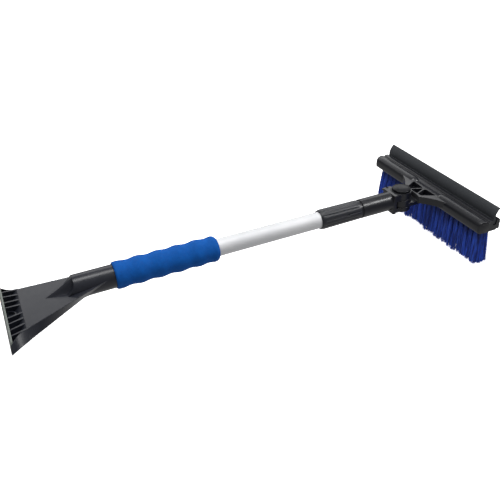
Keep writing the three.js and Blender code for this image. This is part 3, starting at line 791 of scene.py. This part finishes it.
def pivot_moulding():
    """Yoke with rounded edges on a turned neck, which fits into the collar with a thinner spigot."""
    yoke = mould(copy_of("pivot_yoke", "yoke"), 0.3, 3)
    carve(yoke, block("neck_side", (-200, -20.4), (-30, 30), (-30, 30)))
    profile = [(-74.5, NECK_BORE_R), (-74.5, SPIGOT_R - 0.3), (-74.2, SPIGOT_R), (-67.5, SPIGOT_R)]
    profile += [(-67.5, 12.5), (-67.1, PIVOT_NECK_R), (-17.5, PIVOT_NECK_R), (-17.5, NECK_BORE_R)]
    neck = turned_x("pivot_neck", profile, 128, loop=True)
    rivet_x = span("neck_rivet")[0].x + 2
    carve(neck, rod_z("rivet_room", 2.1, -20, -9, rivet_x, 0, 40))
    moulding = shade(gather("pivot_moulding", [yoke, neck]), 40)
    return place(moulding, BLACK, "slider", "black_plastic", "pivot_yoke")


def domed_button():
    low, high = span("push_button")
    rim = 12.5
    profile = [(0, low.z), (8.2, low.z), (8.2, 12.3)]
    profile += [(rim - 0.5, 12.3), (rim, 12.8), (rim, 14.7), (rim - 0.2, 15.3)]
    crown = high.z - 15.4
    for k in range(1, 25):
        r = (rim - 0.6) * math.cos(math.pi / 2 * k / 24)
        profile.append((r, 15.5 + crown * (1 - (r / rim) ** 2.6)))
    button = shade(turned_z("domed_button", profile, sides=128), 45)
    return place(button, BUTTON_BLACK, "button", "black_plastic", "push_button")


def spring_coil():
    low, high = span("button_spring")
    wire = 0.4
    radius = (high.x - low.x) / 2 - wire
    turns, steps = 5, 240
    rings = []
    for k in range(steps + 1):
        a = 2 * math.pi * turns * k / steps
        z = mix(low.z + wire, high.z - wire, k / steps)
        ring = []
        for s in range(10):
            b = 2 * math.pi * s / 10
            r = radius + wire * math.cos(b)
            ring.append((r * math.cos(a), r * math.sin(a), z + wire * math.sin(b)))
        rings.append(ring)
    coil = place(shade(skin("spring_coil", rings)), STEEL, "slider", "steel", "button_spring")
    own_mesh(coil)
    return coil


def domed_rivet(name, node, body):
    low, high = span(node)
    x, r = (low.x + high.x) / 2, (high.x - low.x) / 2
    profile = [(0, high.z), (r - 0.2, high.z), (r, high.z - 0.2), (r, low.z + 0.9)]
    for k in range(1, 9):
        a = math.pi / 2 * k / 8
        profile.append((r * math.cos(a), low.z + 0.9 - 0.9 * math.sin(a)))
    rivet = shade(turned_z(name, profile, x, 0, 40), 50)
    return place(rivet, STEEL, body, "steel", node)


# ---------------------------------------------------------------- head


def bar_outline():
    """Side profile of the bar without its bolsters: lip, front face, flat top, ridge and slot."""
    return rounded(
        [
            (42.4, BAR_FOOT_Z),
            (41.4, -8.6),
            (41.0, 3.6),
            (43.6, 5.2),
            (48.5, 3.4, 3.0),
            (54.4, 4.6, 0.4),
            (55.6, 6.3),
            (60.4, 6.7, 0.3),
            (60.4, -1.0, 0.3),
            (66.6, -1.0, 0.3),
            (66.6, 6.0, 0.3),
            (68.8, 5.6),
            (68.8, BAR_FOOT_Z),
        ],
        0.8,
        steps=3,
    )


def bar_end(x):
    """How far the bar's bowed end reaches from the middle at x."""
    return BAR_HALF + BAR_BULGE * (1 - ((x - 56) / 18) ** 2)


def bar_rail():
    """Bar with bowed ends and softly rounded rims."""
    rings = []
    for share, shrink in ((-1, 0.975), (-0.997, 0.99), (-0.993, 1), (0.993, 1), (0.997, 0.99), (1, 0.975)):
        ring = []
        for x, z in bar_outline():
            ring.append((mix(55, x, shrink), share * bar_end(x), mix(-1, z, shrink)))
        rings.append(ring)
    return skin("bar", rings)


def bolster(side):
    """Bolster along one half of the bar's front: round on top, upright in front, round towards the hub."""
    rings = []
    near = [BOLSTER_START + BOLSTER_NOSE * (k / 16) ** 2 for k in range(17)]
    far = [mix(near[-1], BAR_HALF - 1.2, k / 8) for k in range(1, 9)]
    stations = [(y, 1.0) for y in near + far]
    stations += [(BAR_HALF - 1.2 + more, shrink) for more, shrink in ((0.6, 0.985), (1.0, 0.95), (1.2, 0.9))]
    for y, shrink in stations:
        lack = max(0, 1 - (y - BOLSTER_START) / BOLSTER_NOSE)
        size = shrink * math.sqrt(max(0.0016, 1 - lack**2))
        ring = []
        for s in range(48):
            a = 2 * math.pi * s / 48
            c, d = math.cos(a), math.sin(a)
            power = 0.85 if d > 0 else 0.5
            height = BOLSTER_RISE if d > 0 else BOLSTER_DROP
            x = BOLSTER_X + BOLSTER_HALF * size * math.copysign(abs(c) ** power, c)
            z = BOLSTER_Z + height * size * math.copysign(abs(d) ** power, d)
            over = bar_end(x) - BAR_HALF if y > BAR_HALF - 20 else 0
            ring.append((x, side * (y + over), z))
        rings.append(ring)
    return skin("bolster", rings)


def hub_outline():
    points = [(43.4, -52), (43.4, 52), (40.6, 51)]
    for k in range(17):
        t = k / 16
        a, b, c = Vector((40.6, 51)), Vector((33.5, 29)), Vector((18.6, 17.2))
        points.append(tuple(a * (1 - t) ** 2 + b * 2 * t * (1 - t) + c * t * t))
    wall = math.atan2(16.4, 18.2)
    for k in range(25):
        share = 1 - k / 12
        r = mix(HUB_R, HUB_END_R, share**2)
        points.append((r * math.cos(wall * share), r * math.sin(wall * share)))
    points += [(x, -y) for x, y in reversed(points[3:20])]
    return points


def hub_web():
    web = along_z("hub_web", hub_outline(), -HUB_TOP_Z, HUB_TOP_Z)
    pockets = [
        [(23.6, 14.6), (23.0, 8.9), (40.0, 2.6), (41.0, 23.6)],
        [(23.6, -14.6), (23.0, -8.9), (40.0, -2.6), (41.0, -23.6)],
        [(22.6, 6.6), (22.6, -6.6), (38.6, 0)],
    ]
    cutters = [along_z("pocket", rounded(p, 1.0, steps=3), -3.2, 20) for p in pockets]
    return carve(web, *cutters)


def knuckle():
    """Round knuckle between the yoke's arms, with the web that joins it to the hub."""
    drum = rod_z("knuckle", KNUCKLE_R, *KNUCKLE_Z, sides=96)
    web = block("web", (0, 30), (-14.4, 14.4), (KNUCKLE_Z[0], WEB_TOP_Z))
    carve(web, rod_z("web_room", 10, -20, 20))
    room = rod_z("gear_room", 9.6, -5, 20)
    hole = rod_z("screw_room", 3.4, -20, 0, sides=32)
    return [carve(drum, room, hole), web]


def head_moulding():
    hub = mould(gather("hub", [hub_web(), *knuckle()]), 0.36, 5)
    moulding = gather("head_moulding", [hub, bar_rail(), bolster(-1), bolster(1)])
    return place(shade(moulding, 40), BLACK, "head", "black_plastic", "head_body")


def rear_rail():
    low, high = span("squeegee_rail")
    corners = [(low.x, low.z), (high.x, low.z)]
    corners += [(high.x - 0.4, 3.6, 1.6), (high.x - 3.2, high.z, 1.2), (low.x, high.z)]
    outline = rounded(corners, 0.5)
    rail = round_edges(along_y("rear_rail", outline, low.y, high.y), 0.5)
    return place(rail, BLACK, "head", "black_plastic", "squeegee_rail")


def squeegee_outline(high):
    """Section of the rubber: a square root in the slot and a lip that curves back as it rises."""
    front, back = [], []
    for k in range(13):
        t = k / 12
        z = mix(6.4, high.z - 0.5, t)
        x = 61.7 + 6.0 * t**1.9 - 0.7 * math.sin(math.pi * t)
        thick = mix(3.0, 1.5, t**0.7)
        front.append((x, z))
        back.append((x + thick, z + (0.2 - 0.9 * t)))
    root = [(66.0, 5.6), (66.0, -0.6), (60.9, -0.6), (60.9, 5.6)]
    return front + list(reversed(back)) + root


def squeegee_lip():
    low, high = span("squeegee_blade")
    outline = squeegee_outline(high)
    lip = round_edges(along_y("squeegee_lip", outline, low.y, high.y), 0.3, 2)
    return place(lip, RUBBER, "head", "squeegee_rubber", "squeegee_blade")


def filament(points, faces, root, tip, bow, radius):
    """Adds one bristle as a thin four-sided strand that bows a little and thins to its tip."""
    steps = 5
    first = len(points)
    for s in range(steps + 1):
        t = s / steps
        x, y, z = (mix(root[i], tip[i], t) + bow[i] * 4 * t * (1 - t) for i in range(3))
        r = radius * mix(1, 0.9, t)
        for dx, dy in ((r, 0), (0, r), (-r, 0), (0, -r)):
            points.append((x + dx, y + dy, z))
    for s in range(steps):
        a = first + 4 * s
        for k in range(4):
            n = (k + 1) % 4
            faces.append((a + k, a + n, a + 4 + n, a + 4 + k))
    faces.append((first + 3, first + 2, first + 1, first))
    end = first + 4 * steps
    faces.append((end, end + 1, end + 2, end + 3))


def trim_height(y, wave):
    """How far above the tips' plane the bristles end at y. The cut is uneven, with one short stretch."""
    short = SHORT_TIPS if SHORT_Y[0] < y < SHORT_Y[1] else 0
    return 0.8 + short + 0.7 * math.sin(y / 13 + wave) + 0.5 * math.sin(y / 5.1 + 2 * wave)


def bristle_tufts(number):
    node = f"bristle_row_{number}"
    low, high = span(node)
    middle = (low.x + high.x) / 2
    root_half = high.y - 10
    draw = random.Random(40 + number)
    wave = draw.uniform(0, 6)
    count = int(2 * root_half / TUFT_PITCH)
    shift = TUFT_PITCH * (0.0, 0.45, -0.3, 0.2, -0.45)[number - 1]
    points, faces = [], []
    for tuft in range(count + 1):
        y0 = -root_half + 2 * root_half * tuft / count
        if tuft not in (0, count):
            y0 += shift
        lean_x, lean_y = draw.gauss(0, 0.5), draw.gauss(0, 0.7)
        length = draw.uniform(0, 1.0)
        for _ in range(FILAMENTS * (2 if tuft in (0, count) else 1)):
            a = draw.uniform(0, 2 * math.pi)
            r = math.sqrt(draw.random())
            rx, ry = r * math.cos(a), r * math.sin(a)
            root = (middle + TUFT_R * rx, y0 + TUFT_R * ry, BAR_FOOT_Z + 1)
            tip_x = middle + lean_x + 3.0 * rx + draw.gauss(0, 0.5)
            tip_y = (y0 + lean_y) * (high.y - 5) / root_half + 4.6 * ry + draw.gauss(0, 0.6)
            tip_z = low.z + max(0, trim_height(y0, wave) + length + draw.gauss(0, 0.45))
            bow = (draw.gauss(0, 0.35), draw.gauss(0, 0.5), 0)
            filament(points, faces, root, (tip_x, tip_y, tip_z), bow, FILAMENT_R)
    mesh = bpy.data.meshes.new(f"bristle_tufts_{number}")
    mesh.from_pydata([at(*p) for p in points], [], faces)
    tufts = bpy.data.objects.new(mesh.name, mesh)
    bpy.context.scene.collection.objects.link(tufts)
    return place(shade(tufts, 60), BRISTLE, "head", "blue_bristle", node)


# ---------------------------------------------------------------- stage, light and camera


WORLD = ((0.0, 0.64), (0.42, 0.32), (0.52, 0.12), (1.0, 0.36))  # from straight down to straight up


def studio_floor():
    """White floor whose glow hides shadows. It doesn't light the object and isn't reflected in it."""
    half = 6.0
    mesh = bpy.data.meshes.new("studio_floor")
    z = CAD_BOX[0].z - 0.0005
    corners = [(-half, -half, z), (half, -half, z), (half, half, z), (-half, half, z)]
    mesh.from_pydata(corners, [], [(0, 1, 2, 3)])
    floor = bpy.data.objects.new("studio_floor", mesh)
    bpy.context.scene.collection.objects.link(floor)
    n = Nodes("floor_paint")
    whites = n.ramp(n.noise(3), (0.3, (0.93, 0.93, 0.93)), (0.7, (0.95, 0.95, 0.95)))
    n.link(whites, n.shader.inputs["Base Color"])
    n.shader.inputs["Roughness"].default_value = 0.9
    n.shader.inputs["Emission Color"].default_value = (1, 1, 1, 1)
    n.shader.inputs["Emission Strength"].default_value = 1.0
    mesh.materials.append(n.material)
    floor.visible_diffuse = False
    floor.visible_glossy = False


def studio_world():
    """Pale dome that dims towards the horizon, over the glow of a lit floor. It is seen as plain white."""
    world = bpy.data.worlds.new("studio")
    bpy.context.scene.world = world
    world.use_nodes = True
    tree = world.node_tree
    coords = tree.nodes.new("ShaderNodeTexCoord")
    split = tree.nodes.new("ShaderNodeSeparateXYZ")
    height = tree.nodes.new("ShaderNodeMapRange")
    height.inputs["From Min"].default_value = -1
    ramp = tree.nodes.new("ShaderNodeValToRGB")
    items = ramp.color_ramp.elements
    while len(items) < len(WORLD):
        items.new(0.5)
    for item, (where, light) in zip(items, WORLD):
        item.position = where
        item.color = (light, light, light, 1)
    tree.links.new(coords.outputs["Generated"], split.inputs["Vector"])
    tree.links.new(split.outputs["Z"], height.inputs["Value"])
    tree.links.new(height.outputs["Result"], ramp.inputs["Fac"])
    tree.links.new(ramp.outputs["Color"], tree.nodes["Background"].inputs["Color"])
    backdrop = tree.nodes.new("ShaderNodeBackground")
    backdrop.inputs["Color"].default_value = (1, 1, 1, 1)
    seen = tree.nodes.new("ShaderNodeLightPath")
    choice = tree.nodes.new("ShaderNodeMixShader")
    tree.links.new(seen.outputs["Is Camera Ray"], choice.inputs["Fac"])
    tree.links.new(tree.nodes["Background"].outputs["Background"], choice.inputs[1])
    tree.links.new(backdrop.outputs["Background"], choice.inputs[2])
    tree.links.new(choice.outputs["Shader"], tree.nodes["World Output"].inputs["Surface"])


def softbox(name, place_mm, aim_mm, size, energy):
    data = bpy.data.lights.new(name, "AREA")
    data.shape = "RECTANGLE"
    data.size, data.size_y = size
    data.energy = energy
    lamp = bpy.data.objects.new(name, data)
    lamp.location = at(*place_mm)
    aim = at(*aim_mm) - lamp.location
    lamp.rotation_euler = aim.to_track_quat("-Z", "Y").to_euler()
    bpy.context.scene.collection.objects.link(lamp)


CAMERA_PLACE = (-500.45, -590.99, 414.59)  # in the pole's frame
CAMERA_YAW = 0.42834  # to the right of +Y
CAMERA_DIP = 0.58619
CAMERA_ROLL = -0.02568
CAMERA_LENS = 44.2


def photo_camera():
    data = bpy.data.cameras.new("camera")
    data.lens = CAMERA_LENS
    data.sensor_width = 36
    data.clip_start = 0.01
    camera = bpy.data.objects.new("camera", data)
    bpy.context.scene.collection.objects.link(camera)
    forward = Vector(
        (
            math.sin(CAMERA_YAW) * math.cos(CAMERA_DIP),
            math.cos(CAMERA_YAW) * math.cos(CAMERA_DIP),
            -math.sin(CAMERA_DIP),
        )
    )
    level = forward.cross(Vector((0, 0, 1))).normalized()
    upright = level.cross(forward)
    right = math.cos(CAMERA_ROLL) * level + math.sin(CAMERA_ROLL) * upright
    up = -math.sin(CAMERA_ROLL) * level + math.cos(CAMERA_ROLL) * upright
    turn = Matrix((right, up, -forward)).transposed().to_4x4()
    camera.matrix_world = Matrix.Translation(at(*CAMERA_PLACE)) @ turn
    bpy.context.scene.camera = camera


photo_camera()
studio_world()
studio_floor()
softbox("overhead", (-250, 20, 1350), (-250, 0, 0), (1.5, 0.45), 13)
softbox("right_front", (700, -480, 900), (-40, 0, 0), (0.3, 0.3), 6)
softbox("backdrop", (300, 1700, 1000), (-100, 0, 0), (3.0, 0.9), 13)
bpy.context.scene.view_settings.view_transform = "Standard"

# ---------------------------------------------------------------- the object

scraper_moulding()
scraper_edge()
domed_rivet("socket_rivet_head", "socket_rivet", "handle")
pole_tube("pole_tube_outer", "outer_tube", "handle")
foam_sleeve()
collar_shell()
pole_tube("pole_tube_inner", "inner_tube", "slider")
domed_rivet("neck_rivet_head", "neck_rivet", "slider")
pivot_moulding()
domed_button()
spring_coil()
head_moulding()
rear_rail()
squeegee_lip()
for number in range(1, 6):
    bristle_tufts(number)


def dress(node, material):
    """Gives a CAD node that stays its own finish and softly broken edges."""
    obj = frame["nodes"][node]
    obj.data.materials.clear()
    obj.data.materials.append(material)
    bevel = obj.modifiers.new("edges", "BEVEL")
    bevel.width = 0.12 * MM
    bevel.segments = 2
    bevel.limit_method = "ANGLE"


for name, material in (
    ("collet_body", NYLON),
    ("collet_ring", NYLON),
    ("guide_plug", NYLON),
    ("pivot_screw", STEEL),
    ("pivot_nut", STEEL),
    ("lock_gear", BLACK),
):
    dress(name, material)

for name, material in (
    ("scraper_head", CHARCOAL),
    ("scraper_blade", BLADE_GREY),
    ("outer_tube", ALUMINIUM),
    ("foam_grip", FOAM),
    ("lock_collar", COLLAR_GREY),
    ("inner_tube", ALUMINIUM),
    ("pivot_yoke", BLACK),
    ("push_button", BLACK),
    ("head_body", BLACK),
    ("squeegee_rail", BLACK),
    ("squeegee_blade", RUBBER),
):
    frame["nodes"][name].data.materials.clear()
    frame["nodes"][name].data.materials.append(material)
